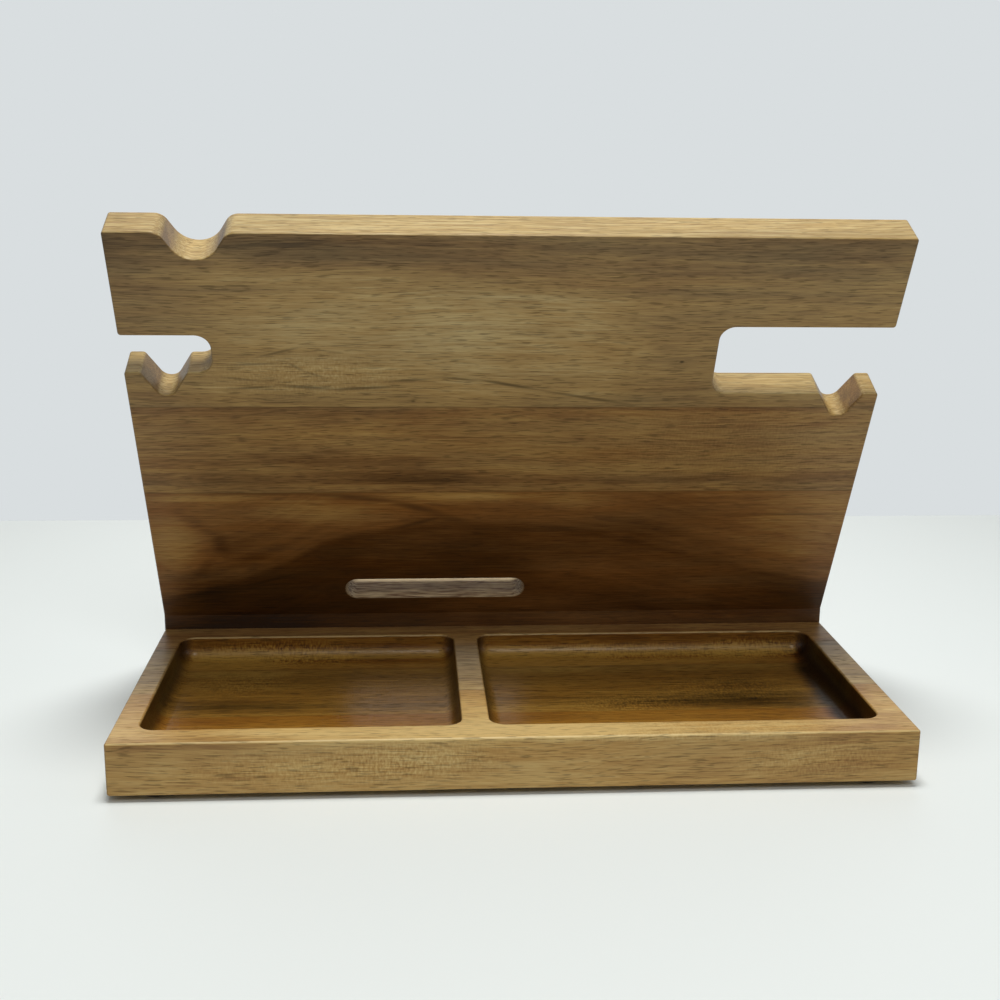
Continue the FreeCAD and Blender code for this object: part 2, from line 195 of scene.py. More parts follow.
STRAIGHT = ((-150.0, 0.0), (150.0, 0.0))
BASE_STAVES = (
    Stave("base_front_stave", (0.0, -190.0, 0.0), ((-150.0, -4.0), (20.0, -3.0), (150.0, 6.0)),
          ((112.0, 0.76), (126.0, 0.86), (134.0, 0.74), (142.0, 0.72), (165.0, 0.60)),
          10.0, 0.35, 0.55, 0.68, 3.0, ((1, -27.5),),
          # The divider's front is paler with painted light, where the board's shade doesn't reach.
          (Patch((-15.6, -45.0, 23.0), (20.0, 22.0, 4.0), 0.0, 0.18),
           Patch((10.0, -70.0, 24.0), (60.0, 12.0, 4.5), 0.0, 0.22),
           Patch((-125.0, -66.0, 24.0), (26.0, 8.0, 4.5), 0.0, -0.07),
           # The side rims are paler with painted highlights.
           Patch((-147.0, -44.0, 24.0), (6.0, 20.0, 2.0), 0.0, 0.05),
           Patch((147.0, -40.0, 24.0), (6.0, 26.0, 3.0), 0.0, 0.12),
           Patch((-125.0, -76.0, 21.5), (38.0, 8.0, 2.0), 1.0, -0.24),
           Patch((-70.0, -70.0, 24.0), (46.0, 12.0, 4.0), 0.0, 0.12),
           Patch((118.0, -76.0, 20.5), (34.0, 8.0, 3.5), 4.0, -0.16),
           Patch((85.0, -76.0, 20.0), (30.0, 8.0, 4.0), 10.0, 0.06),
           Patch((10.0, -76.0, 16.0), (36.0, 8.0, 4.0), 8.0, -0.08),
           Patch((120.0, -76.0, 8.0), (36.0, 8.0, 5.0), 10.0, -0.08),
           Patch((125.0, -66.0, 24.0), (36.0, 8.0, 4.5), 0.0, -0.12),
           # Painted shade on the right tray's right wall.
           Patch((137.0, -36.0, 13.0), (8.0, 26.0, 5.5), 0.0, -0.90)),
          (Patch((-76.0, -76.0, 12.0), (44.0, 8.0, 8.0), 0.0, 0.45),
           Patch((-36.0, -76.0, 15.0), (30.0, 8.0, 8.0), 0.0, 0.6),
           Patch((110.0, -76.0, 12.0), (30.0, 8.0, 8.0), 0.0, 0.5),
           Patch((60.0, -72.0, 23.0), (70.0, 12.0, 3.0), 0.0, 0.35))),
    Stave("base_middle_stave", (0.0, -140.0, -20.0), STRAIGHT,
          ((108.0, 0.68), (118.0, 0.74), (130.0, 0.66), (145.0, 0.70), (170.0, 0.66)),
          10.0, 0.5, 0.75, 0.12, 11.0, ((1, -27.5), (1, 24.5)),
          (Patch((0.0, -32.0, 18.0), (60.0, 14.0, 12.0), 0.0, 0.10),
           Patch((-15.6, 10.0, 24.0), (10.0, 30.0, 4.0), 0.0, 0.12),
           # Painted highlights on the tray floors at the foot of the rear fillets.
           Patch((-112.0, 21.0, 13.0), (28.0, 8.0, 4.0), 0.0, 0.16),
           Patch((0.0, 22.0, 13.0), (400.0, 6.0, 4.0), 0.0, 0.13),
           Patch((22.0, 21.0, 13.0), (34.0, 6.0, 4.0), 0.0, 0.20),
           Patch((98.0, -8.0, 13.0), (22.0, 12.0, 5.0), 0.0, -0.18),
           Patch((-112.0, -18.0, 13.0), (34.0, 7.0, 6.0), 0.0, -0.30),
           Patch((-55.0, -20.0, 13.0), (50.0, 5.0, 6.0), 0.0, -0.17),
           Patch((90.0, 3.0, 13.0), (36.0, 14.0, 6.0), 0.0, -0.12),
           Patch((90.0, -20.0, 13.0), (50.0, 7.0, 6.0), 0.0, -0.42),
           # Painted shade on the right tray's right wall, and on the left tray's left wall.
           Patch((137.0, -6.0, 13.0), (8.0, 60.0, 6.0), 0.0, -0.90),
           Patch((-143.0, 0.0, 16.0), (9.0, 40.0, 5.0), 0.0, -0.15)),
          (Patch((50.0, -20.0, 13.0), (26.0, 10.0, 6.0), 0.0, 1.0),
           Patch((95.0, -6.0, 13.0), (30.0, 16.0, 6.0), 0.0, 0.9),
           Patch((-112.0, 10.0, 13.0), (24.0, 16.0, 6.0), 0.0, 0.9))),
    Stave("base_rear_stave", (0.0, 190.0, -10.0), STRAIGHT,
          ((110.0, 0.58), (140.0, 0.58), (152.0, 0.54), (158.0, 0.60), (170.0, 0.64)),
          10.0, 0.5, 0.7, 0.70, 19.0, ((1, 24.5),),
          # Painted highlights along the trays' rear fillets and on the floor at their foot, fainter
          # in one stretch.
          (Patch((0.0, 26.0, 13.0), (400.0, 6.0, 4.0), 0.0, 0.16),
           Patch((-114.0, 37.0, 14.5), (26.0, 6.0, 4.0), 0.0, 0.30),
           Patch((-54.0, 38.0, 15.0), (14.0, 8.0, 5.0), 0.0, -0.14),
           Patch((0.0, 38.0, 15.0), (10.0, 8.0, 5.0), 0.0, 0.15),
           Patch((20.0, 37.0, 14.5), (44.0, 6.0, 4.0), 0.0, 0.30),
           Patch((110.0, 37.0, 14.5), (22.0, 6.0, 4.0), 0.0, 0.40),
           Patch((-118.0, 30.0, 13.0), (26.0, 10.0, 4.0), 0.0, 0.34),
           Patch((22.0, 27.0, 13.0), (40.0, 10.0, 4.0), 0.0, 0.50),
           Patch((80.0, 28.0, 13.0), (30.0, 10.0, 4.0), 0.0, 0.16),
           # Painted shade on the right tray's right wall.
           Patch((139.0, 18.0, 13.0), (6.5, 28.0, 6.0), 0.0, -0.90)),
          # Painted glints along the trays' rear fillets, broken up by ripples.
          (Patch((-98.0, 38.0, 15.0), (36.0, 10.0, 6.0), 0.0, 2.2),
           Patch((50.0, 38.0, 14.0), (60.0, 8.0, 4.0), 0.0, 1.6),
           Patch((115.0, 38.0, 15.0), (24.0, 8.0, 5.0), 0.0, 2.2))),
)
BOARD_STAVES = (
    Stave("board_lower_stave", (0.0, 16.0, -60.0),
          ((-150.0, 9.0), (-132.0, 14.5), (-112.0, 21.5), (-99.0, 28.0), (-90.0, 33.5),
           (-79.0, 41.0), (-68.0, 46.0), (-44.0, 51.0), (-22.0, 53.0), (5.0, 53.0), (28.0, 51.0),
           (46.0, 47.0), (62.0, 42.0), (82.0, 35.0), (108.0, 27.0), (150.0, 16.0)),
          # The dark heart is the wood's own, and partly painted shade low on the leaning board.
          ((20.0, 0.18), (40.0, 0.22), (56.0, 0.26), (61.0, 0.25), (63.5, 0.42), (76.0, 0.48),
           (130.0, 0.47)),
          4.0, 0.15, 0.35, 0.88, 27.0, ((2, 71.0),),
          (Patch((-141.0, 2.0, 42.0), (13.0, 30.0, 14.0), 0.0, 0.22),
           Patch((-121.0, 2.0, 43.0), (3.8, 30.0, 7.0), 6.0, -0.13),
           Patch((-131.0, 2.0, 54.5), (10.0, 30.0, 3.0), -40.0, -0.08),
           Patch((-129.0, 2.0, 29.0), (8.0, 30.0, 2.6), 48.0, -0.10),
           Patch((-108.0, 2.0, 40.0), (24.0, 30.0, 12.0), 25.0, -0.15),
           Patch((-131.0, 2.0, 18.0), (14.0, 30.0, 13.0), 8.0, -0.15),
           Patch((-76.0, 2.0, 60.0), (26.0, 30.0, 6.5), -8.0, 0.16),
           Patch((-127.0, 2.0, 68.0), (22.0, 30.0, 2.2), 0.0, 0.16),
           Patch((-22.0, 2.0, 69.0), (36.0, 30.0, 2.6), -1.0, 0.20),
           Patch((-95.0, 2.0, 12.0), (50.0, 30.0, 18.0), 10.0, -0.09),
           Patch((-20.0, 2.0, 5.0), (50.0, 30.0, 7.0), 0.0, 0.08),
           Patch((-25.0, 2.0, 47.0), (14.0, 30.0, 6.0), 10.0, 0.08),
           Patch((10.0, 2.0, 67.0), (50.0, 30.0, 5.0), 0.0, 0.08),
           Patch((85.0, 2.0, 60.0), (40.0, 30.0, 8.0), 3.0, -0.05),
           Patch((134.0, 2.0, 67.0), (22.0, 30.0, 6.0), 0.0, 0.10),
           Patch((20.0, 2.0, 6.0), (40.0, 30.0, 8.0), 0.0, 0.06),
           Patch((34.0, 2.0, 43.0), (26.0, 30.0, 6.0), -10.0, 0.06),
           Patch((76.0, 2.0, 32.5), (46.0, 30.0, 6.0), -17.0, 0.08),
           Patch((58.0, 2.0, 50.0), (44.0, 30.0, 7.0), 0.0, -0.08),
           Patch((76.0, 2.0, 44.0), (46.0, 30.0, 6.0), -17.0, -0.07),
           Patch((109.0, 2.0, 42.0), (20.0, 30.0, 10.0), 0.0, -0.06),
           Patch((135.0, 2.0, 50.0), (28.0, 30.0, 22.0), 0.0, 0.14),
           Patch((46.0, 2.0, 30.0), (34.0, 30.0, 8.0), -3.0, 0.15),
           Patch((36.0, 2.0, 22.0), (44.0, 30.0, 9.0), 0.0, 0.10),
           Patch((70.0, 2.0, 21.0), (44.0, 30.0, 8.0), 0.0, 0.10),
           Patch((140.0, 2.0, 8.0), (22.0, 30.0, 9.0), 0.0, -0.14),
           Patch((55.0, 2.0, 8.0), (80.0, 30.0, 10.0), 2.0, 0.14),
           # Painted shade at the foot of the board, left of the cable slot.
           Patch((-120.0, 2.0, -4.0), (50.0, 30.0, 5.0), 0.0, -0.22),
           Patch((60.0, 2.0, -4.0), (70.0, 30.0, 5.0), 0.0, 0.12)),
          (),
          (Patch((-97.0, 2.0, 70.9), (34.0, 9.0, 1.1), 0.0, 0.50),
           Patch((-62.0, 2.0, 68.1), (20.0, 9.0, 1.5), -7.0, 0.50),
           Patch((-37.0, 2.0, 62.4), (12.0, 9.0, 1.9), -16.0, 0.55),
           Patch((-26.0, 2.0, 57.6), (14.0, 9.0, 2.4), -20.0, 0.35),
           Patch((-36.0, 2.0, 54.2), (14.0, 9.0, 1.3), 18.0, 0.50),
           Patch((-133.0, 2.0, 13.2), (18.0, 9.0, 1.0), 8.0, 0.40),
           Patch((-103.0, 2.0, 20.6), (18.0, 9.0, 1.0), 17.0, 0.40),
           Patch((125.0, 2.0, 57.7), (24.0, 9.0, 0.6), 0.0, 0.5))),
    Stave("board_middle_stave", (0.0, 60.0, -40.0), STRAIGHT,
          ((100.0, 0.46), (122.0, 0.48), (133.0, 0.53), (138.0, 0.62), (152.0, 0.62),
           (165.0, 0.58)),
          10.0, 0.40, 0.55, 0.55, 35.0, ((2, 71.0), (2, 115.0)),
          (Patch((-100.0, 0.0, 94.0), (40.0, 30.0, 6.0), -4.0, -0.08),
           Patch((-55.0, 0.0, 85.0), (42.0, 30.0, 8.0), -5.0, -0.14),
           Patch((-40.0, 0.0, 79.0), (44.0, 30.0, 4.0), -3.0, -0.08),
           Patch((-128.0, 0.0, 84.0), (22.0, 30.0, 12.0), 0.0, -0.07),
           Patch((75.0, 0.0, 95.0), (46.0, 30.0, 8.0), 3.0, -0.09),
           Patch((-70.0, 0.0, 113.0), (80.0, 30.0, 3.0), 0.0, -0.10),
           Patch((0.0, 0.0, 72.0), (400.0, 30.0, 2.5), 0.0, 0.10)),
          (Patch((95.0, 0.0, 95.0), (60.0, 30.0, 24.0), 0.0, 0.2),),
          (Patch((138.0, 8.5, 116.5), (5.0, 5.0, 6.0), 0.0, 0.58),)),
    Stave("board_upper_stave", (0.0, 80.0, 20.0),
          ((-150.0, 2.0), (-20.0, 2.0), (60.0, 0.0), (150.0, -2.0)),
          ((110.0, 0.56), (124.0, 0.64), (130.0, 0.77), (160.0, 0.76), (172.0, 0.74), (180.0, 0.62),
           (184.0, 0.53), (195.0, 0.51)),
          9.0, 0.25, 0.55, 0.26, 43.0, ((2, 115.0),),
          # A paler middle and darker ends: partly the wood's own tone, partly painted light falling
          # off towards the ends.
          (Patch((-20.0, 0.0, 150.0), (90.0, 40.0, 26.0), -5.0, 0.08),
           Patch((-150.0, 0.0, 165.0), (40.0, 40.0, 50.0), 0.0, -0.20),
           Patch((100.0, 0.0, 150.0), (60.0, 40.0, 40.0), 0.0, -0.14),
           Patch((-48.0, 0.0, 181.5), (80.0, 40.0, 7.0), -5.6, -0.18),
           Patch((62.0, 0.0, 122.0), (26.0, 40.0, 6.0), 0.0, -0.10),
           Patch((40.0, 0.0, 174.0), (34.0, 40.0, 6.0), 0.0, -0.10),
           Patch((-60.0, 0.0, 187.0), (70.0, 40.0, 5.0), -2.0, -0.08)),
          (Patch((-80.0, 0.0, 130.0), (36.0, 30.0, 10.0), 0.0, 0.5),),
          (Patch((95.0, 3.0, 192.5), (70.0, 3.5, 2.5), 0.0, 0.16),
           Patch((67.3, 0.0, 136.9), (1.1, 4.0, 0.6), 0.0, 0.8),
           Patch((-90.0, 0.0, 141.0), (9.0, 6.0, 0.7), 15.5, 0.5),
           Patch((-101.0, 0.0, 124.4), (10.0, 6.0, 0.7), 4.0, 0.55),
           Patch((-80.0, 0.0, 124.6), (12.0, 6.0, 0.8), -3.5, 0.60),
           Patch((-58.0, 0.0, 124.2), (16.0, 6.0, 0.8), 3.0, 0.60),
           Patch((-101.0, 0.0, 135.4), (12.0, 6.0, 0.6), 2.5, 0.45),
           Patch((-105.0, 0.0, 128.4), (9.0, 6.0, 0.6), -8.0, 0.40),
           Patch((-84.0, 0.0, 134.2), (4.0, 6.0, 0.8), -32.0, 0.40),
           Patch((-77.5, 0.0, 130.8), (4.5, 6.0, 0.7), -20.0, 0.40),
           Patch((-40.0, 0.0, 128.0), (9.0, 6.0, 0.7), 4.0, 0.55),
           Patch((-20.0, 0.0, 128.6), (9.0, 6.0, 0.7), -6.0, 0.50),
           Patch((-1.0, 0.0, 126.0), (14.0, 6.0, 0.8), -11.0, 0.65),
           Patch((30.0, 0.0, 119.8), (20.0, 6.0, 0.8), -10.5, 0.55),
           Patch((-38.5, 0.0, 118.0), (1.0, 4.0, 0.7), 0.0, 0.6))),
)
# The trays, where oil pooled and where painted shade darkens the end walls, and the inside of the
# cable slot: the middle and half of the size of a box, in millimetres in panel axes.
TRAYS = ((-0.7, -11.75, 15.85), (141.5, 52.5, 6.85))
CABLE_SLOT = ((-28.75, 7.65, 15.3), (41.0, 7.6, 6.5))


# ---- user settings -------------------------------------------------------------------------
def colour_property(name, description, code):
    """A colour setting whose default is an sRGB hex code."""
    return FloatVectorProperty(name=name, description=description, subtype="COLOR", size=3,
                               min=0.0, max=1.0, default=linear(code))


def length_property(name, description, default):
    """A length setting in metres."""
    return FloatProperty(name=name, description=description, default=default, min=0.0,
                         precision=5, unit="LENGTH", subtype="DISTANCE")


class OrganiserWood(bpy.types.PropertyGroup):
    """Finish of the oiled acacia."""
    heart: colour_property("Heart", "Darkest red-brown wood, near the pith", "#2b1604")
    russet: colour_property("Russet", "Dark red-brown wood", "#5c3711")
    chestnut: colour_property("Chestnut", "Middle red-brown wood", "#8c5d2c")
    honey: colour_property("Honey", "Pale warm wood", "#b58c4b")
    straw: colour_property("Straw", "Palest warm wood", "#cfae6c")
    umber: colour_property("Umber", "Darkest olive wood", "#2b2110")
    bark: colour_property("Bark", "Dark olive wood", "#55462b")
    olive: colour_property("Olive", "Middle olive wood", "#836d47")
    fawn: colour_property("Fawn", "Pale olive wood", "#a68a58")
    cream: colour_property("Cream", "Palest olive wood", "#c2ad7c")
    # The board's paler cut edges are partly painted light. The bright edge colour is also the
    # painted highlight on the base's corners that face up and forward.
    edge: colour_property("Edge", "Wood of the cut edges and notches", "#b79a58")
    edge_bright: colour_property("Bright edge", "Palest lines of the cut edges", "#d9c388")
    oil: colour_property("Pooled oil", "Tint of the oil that pooled in the trays", "#d8c184")
    raw: colour_property("Raw wood", "Unoiled wood inside the cable slot", "#a08763")
    # Bright raw wood shows on pale saw lines and as painted light at the back of the slot.
    raw_bright: colour_property("Bright raw wood", "Paler unoiled wood in the slot", "#dcc69f")
    band_width: length_property("Band width", "Width of a growth band", 5.0 * MM)
    pore_length: length_property("Pore length", "Length of a vessel line along the grain", 7.0 * MM)
    roughness: FloatProperty(name="Roughness", description="How matt the oiled surface is",
                             default=0.38, min=0.0, max=1.0, subtype="FACTOR")


class OrganiserFeet(bpy.types.PropertyGroup):
    """Sizes and colour of the rubber feet."""
    diameter: length_property("Diameter", "Width of one foot", FOOT_DIAMETER)
    height: length_property("Height", "Height of one foot", FOOT_HEIGHT)
    edge_radius: length_property("Edge radius", "Rounding of the foot's lower edge", 0.9 * MM)
    segments: IntProperty(name="Segments", description="Sides of each round foot", default=48,
                          min=8)
    colour: colour_property("Colour", "Colour of the rubber", "#1b1a19")
    dust: colour_property("Dust", "Colour of the dust on the rubber", "#3c3a37")


class OrganiserScrews(bpy.types.PropertyGroup):
    """Colours of the assembly screws."""
    dull: colour_property("Dull", "Darker blotches of the plating", "#a9a9a4")
    bright: colour_property("Bright", "Brighter blotches of the plating", "#d2d0c8")


class OrganiserStage(bpy.types.PropertyGroup):
    """Floor, light and camera."""
    floor_colour: colour_property("Floor", "Colour of the floor", "#e3e8e5")
    wall_colour: colour_property("Background", "Colour seen behind the floor", "#d9dee0")
    lamp_power: FloatProperty(name="Lamp", description="Power of the lamp overhead", default=11.0,
                              min=0.0, unit="POWER")
    room_light: FloatProperty(name="Room light", description="Strength of the even light all round",
                              default=0.10, min=0.0)
    lens: FloatProperty(name="Lens", description="Focal length in millimetres", default=48.346,
                        min=1.0, unit="CAMERA")


# ---- acacia --------------------------------------------------------------------------------
class Pattern(NamedTuple):
    """An uneven pattern in the wood. Its cell is in millimetres along each axis.

    Its shift is added to the stave's seed, so that the patterns of a stave differ.
    """
    cell: tuple
    shift: float
    detail: float
    roughness: float = 0.5


SWAY = Pattern((150.0, 60.0, 60.0), 0.0, 4.0, 0.42)
LONG_LINES = Pattern((70.0, 1.8, 1.8), 12.0, 3.0, 0.6)
SHORT_LINES = Pattern((16.0, 0.6, 0.6), 16.0, 2.0, 0.6)
CLOUDS = Pattern((40.0, 24.0, 24.0), 20.0, 2.0)
WARMTH_DRIFT = Pattern((80.0, 9.0, 9.0), 24.0, 2.0)
SAW_LINES = Pattern((12.0, 0.8, 0.8), 24.0, 2.0, 0.7)
SANDING = Pattern((9.0, VESSEL_WIDTH, VESSEL_WIDTH), 32.0, 1.0)
EDGE_LINES = Pattern((40.0, 0.9, 0.9), 36.0, 3.0, 0.7)
# Short ripples across the grain, for curly figure, for a router's chatter and for painted glints
# along the trays' rear fillets.
RIPPLES = Pattern((0.9, 1.8, 1.8), 40.0, 1.0)


def nearness(tree, position, patch):
    """One at a patch's centre, falling smoothly to nothing round it."""
    near = node(tree, "ShaderNodeMapping", {"vector_type": "TEXTURE"},
                {"Vector": position, "Location": patch.centre,
                 "Rotation": (0.0, -math.radians(patch.slope), 0.0), "Scale": patch.reach})
    distance = node(tree, VECTOR_MATH, {"operation": "LENGTH"}, {0: near}).outputs["Value"]
    return node(tree, "ShaderNodeMapRange", {"interpolation_type": "SMOOTHERSTEP"},
                {"Value": distance, "From Min": PATCH_FADE, "From Max": 0.0})


def grain_pattern(tree, position, pattern, stave):
    """A pattern at a position in a stave, moved by the stave's seed so that staves differ."""
    seed = stave.seed + pattern.shift
    scaled = node(tree, "ShaderNodeMapping", {"vector_type": "POINT"},
                  {"Vector": position, "Location": (seed, seed * 2.0, seed * 3.0),
                   "Scale": tuple(1.0 / size for size in pattern.cell)})
    return node(tree, "ShaderNodeTexNoise", {"noise_dimensions": "3D"},
                {"Vector": scaled, "Scale": 1.0, "Detail": pattern.detail,
                 "Roughness": pattern.roughness})


def inside(tree, position, region, edge):
    """One inside a box and nothing outside it, over a soft edge of the given millimetres."""
    middle, half = region
    offset = node(tree, VECTOR_MATH, {"operation": "SUBTRACT"}, {0: position, 1: middle})
    offset = node(tree, VECTOR_MATH, {"operation": "ABSOLUTE"}, {0: offset})
    offset = node(tree, VECTOR_MATH, {"operation": "SUBTRACT"}, {0: offset, 1: half})
    beyond = node(tree, "ShaderNodeSeparateXYZ", None, {0: offset}).outputs
    most = node(tree, MATH, {"operation": "MAXIMUM"}, {0: beyond["X"], 1: beyond["Y"]})
    most = node(tree, MATH, {"operation": "MAXIMUM"}, {0: most, 1: beyond["Z"]})
    return node(tree, "ShaderNodeMapRange", None,
                {"Value": most, "From Min": 0.0, "From Max": -edge})


def grain_positions(tree, panel, stave):
    """The panel's millimetres where the grain sways, and the same measured from the bent pith."""
    # The ramp holds the pith's rise as a grey: a half is level, and the full scale is the lift.
    low, high, lift = -150.0, 150.0, 200.0
    along = node(tree, "ShaderNodeMapRange", None,
                 {"Value": node(tree, "ShaderNodeSeparateXYZ", None, {0: panel}),
                  "From Min": low, "From Max": high})
    rise = node(tree, "ShaderNodeValToRGB", None, {"Fac": along},
                [((place - low) / (high - low), (0.5 + height / lift,) * 3)
                 for place, height in stave.bends])
    rise.color_ramp.interpolation = "CARDINAL"
    sway = grain_pattern(tree, panel, SWAY, stave).outputs["Color"]
    centred = node(tree, VECTOR_MATH, {"operation": "SUBTRACT"}, {0: sway, 1: (0.5, 0.5, 0.5)})
    grain = node(tree, VECTOR_MATH, {"operation": "MULTIPLY_ADD"},
                 {0: centred, 1: (0.0, stave.sway, stave.sway), 2: panel})
    from_pith = (stave.pith[0], stave.pith[1], stave.pith[2] - 0.5 * lift)
    log = node(tree, VECTOR_MATH, {"operation": "MULTIPLY_ADD"},
               {0: rise, 1: (0.0, 0.0, -lift),
                2: node(tree, VECTOR_MATH, {"operation": "SUBTRACT"}, {0: grain, 1: from_pith})})
    return grain, log


def wood_shade(tree, panel, grain, log, stave, finish):
    """How pale the wood is, from 0 to 1: broad tones, growth bands, lines and patches, with some
    painted shade and highlights among the patches and figure.
    """
    across = node(tree, VECTOR_MATH, {"operation": "MULTIPLY"}, {0: log, 1: (0.0, 1.0, 1.0)})
    ring = node(tree, VECTOR_MATH, {"operation": "LENGTH"}, {0: across}).outputs["Value"]
    first = stave.tones[0][0]
    last = stave.tones[-1][0]
    depth = node(tree, "ShaderNodeMapRange", None,
                 {"Value": ring, "From Min": first, "From Max": last})
    shade = node(tree, "ShaderNodeValToRGB", None, {"Fac": depth},
                 [((distance - first) / (last - first), (tone, tone, tone))
                  for distance, tone in stave.tones])
    rings = node(tree, MATH, {"operation": "MULTIPLY"}, {0: ring, 1: MM / finish.band_width})
    bands = node(tree, "ShaderNodeTexNoise", {"noise_dimensions": "1D"},
                 {"W": rings, "Scale": 1.0, "Detail": 4.0, "Roughness": 0.65})
    # Each layer is centred on a half, so half of the sum of the gains comes off at the end.
    layers = ((bands, stave.bands),
              (grain_pattern(tree, grain, LONG_LINES, stave), 0.45 * stave.streaks),
              (grain_pattern(tree, grain, SHORT_LINES, stave), stave.streaks),
              (grain_pattern(tree, panel, CLOUDS, stave), 0.3))
    for layer, gain in layers:
        shade = node(tree, MATH, {"operation": "MULTIPLY_ADD"}, {0: layer, 1: gain, 2: shade})
    shade = node(tree, MATH, {"operation": "SUBTRACT"},
                 {0: shade, 1: 0.5 * sum(gain for _, gain in layers)})
    for patch in stave.patches:
        shade = node(tree, MATH, {"operation": "MULTIPLY_ADD"},
                     {0: nearness(tree, panel, patch), 1: patch.change, 2: shade})
    # Just under a half comes off, so that figured wood is a little paler on the whole.
    ripple = node(tree, MATH, {"operation": "SUBTRACT"},
                  {0: grain_pattern(tree, panel, RIPPLES, stave), 1: 0.45})
    for patch in stave.figure:
        strength = node(tree, MATH, {"operation": "MULTIPLY"},
                        {0: nearness(tree, panel, patch), 1: patch.change})
        shade = node(tree, MATH, {"operation": "MULTIPLY_ADD"}, {0: strength, 1: ripple, 2: shade})
    return shade


def wood_hue(tree, grain, shade, stave, finish):
    """The wood's colour for its shade, between an olive scale and a red-brown one."""
    places = (0.0, 0.25, 0.5, 0.75, 1.0)
    warm = (finish.heart, finish.russet, finish.chestnut, finish.honey, finish.straw)
    cool = (finish.umber, finish.bark, finish.olive, finish.fawn, finish.cream)
    spread = 0.8
    warmth = node(tree, MATH, {"operation": "MULTIPLY_ADD", "use_clamp": True},
                  {0: grain_pattern(tree, grain, WARMTH_DRIFT, stave), 1: spread,
                   2: stave.warmth - 0.5 * spread})
    scales = [node(tree, "ShaderNodeValToRGB", None, {"Fac": shade}, list(zip(places, colours)))
              for colours in (cool, warm)]
    return node(tree, "ShaderNodeMix", {"data_type": "RGBA"},
                {"Factor": warmth, "A": scales[0], "B": scales[1]}).outputs["Result"]


